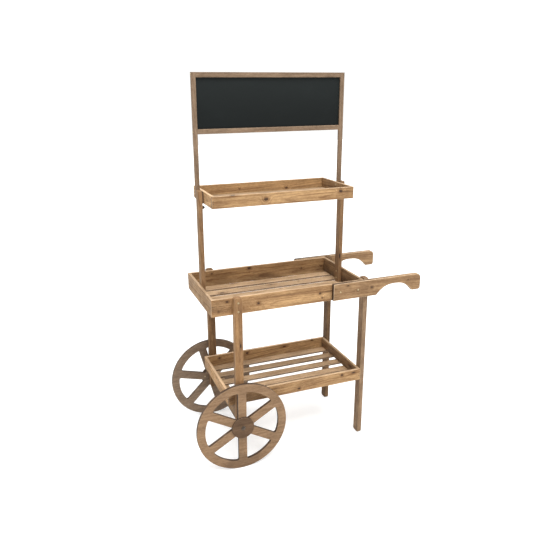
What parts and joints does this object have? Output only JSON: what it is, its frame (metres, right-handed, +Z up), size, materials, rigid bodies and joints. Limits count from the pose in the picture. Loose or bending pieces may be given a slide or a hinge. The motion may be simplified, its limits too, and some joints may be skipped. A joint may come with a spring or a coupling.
{
  "type": "garden cart",
  "caption": "Wooden vendor-style garden cart with slatted tray and shelves, spoked wheels, shaped handles and a framed chalkboard on uprights.",
  "frame": {"origin": "on the ground under the middle of the cart's overall length and depth", "axes": "+X along the tray towards the handles, +Y from the front to the back, +Z up"},
  "size_m": [1.0735, 0.5228, 1.642],
  "materials": {
    "stained_wood": "weathered, oiled, knotty fir",
    "dark_wood": "darker stained fir",
    "chalkboard": "matt chalkboard paint on thin board",
    "steel": "zinc plated"
  },
  "bodies": {
    "cart": {"tray_front_board": "stained_wood", "tray_back_board": "stained_wood", "tray_left_board": "stained_wood", "tray_right_board": "stained_wood", "tray_slats": "stained_wood", "lower_front_board": "stained_wood", "lower_back_board": "stained_wood", "lower_left_board": "stained_wood", "lower_right_board": "stained_wood", "lower_slats": "stained_wood", "upper_front_board": "stained_wood", "upper_back_board": "stained_wood", "upper_left_board": "stained_wood", "upper_right_board": "stained_wood", "upper_slats": "stained_wood", "leg_front_left": "stained_wood", "leg_back_left": "stained_wood", "leg_front_right": "stained_wood", "leg_back_right": "stained_wood", "handle_front": "stained_wood", "handle_back": "stained_wood", "post_left": "stained_wood", "post_right": "stained_wood", "shelf_spacers": "dark_wood", "sign_stile_left": "stained_wood", "sign_stile_right": "stained_wood", "sign_rail_top": "stained_wood", "sign_rail_bottom": "stained_wood", "sign_panel": "chalkboard", "axle_beam": "dark_wood", "axle": "steel", "axle_bushes": "steel", "leg_screws": "steel", "handle_screws": "steel", "corner_nails": "steel", "post_screws": "steel", "shelf_screws": "steel", "sign_screws": "steel", "shelf_bolts": "steel", "hub_bolts": "steel", "hub_washers": "steel"},
    "front_wheel": {"wheel_front": "stained_wood", "hub_plate_front": "dark_wood", "hub_plate_screws_front": "steel"},
    "back_wheel": {"wheel_back": "stained_wood", "hub_plate_back": "dark_wood", "hub_plate_screws_back": "steel"}
  },
  "joints": [
    {"name": "front_wheel_spin", "type": "hinge", "parent": "cart", "child": "front_wheel", "pos_m": [-0.33675, -0.2399, 0.2], "axis": [0, 1, 0], "continuous": true},
    {"name": "back_wheel_spin", "type": "hinge", "parent": "cart", "child": "back_wheel", "pos_m": [-0.33675, 0.2399, 0.2], "axis": [0, 1, 0], "continuous": true}
  ]
}
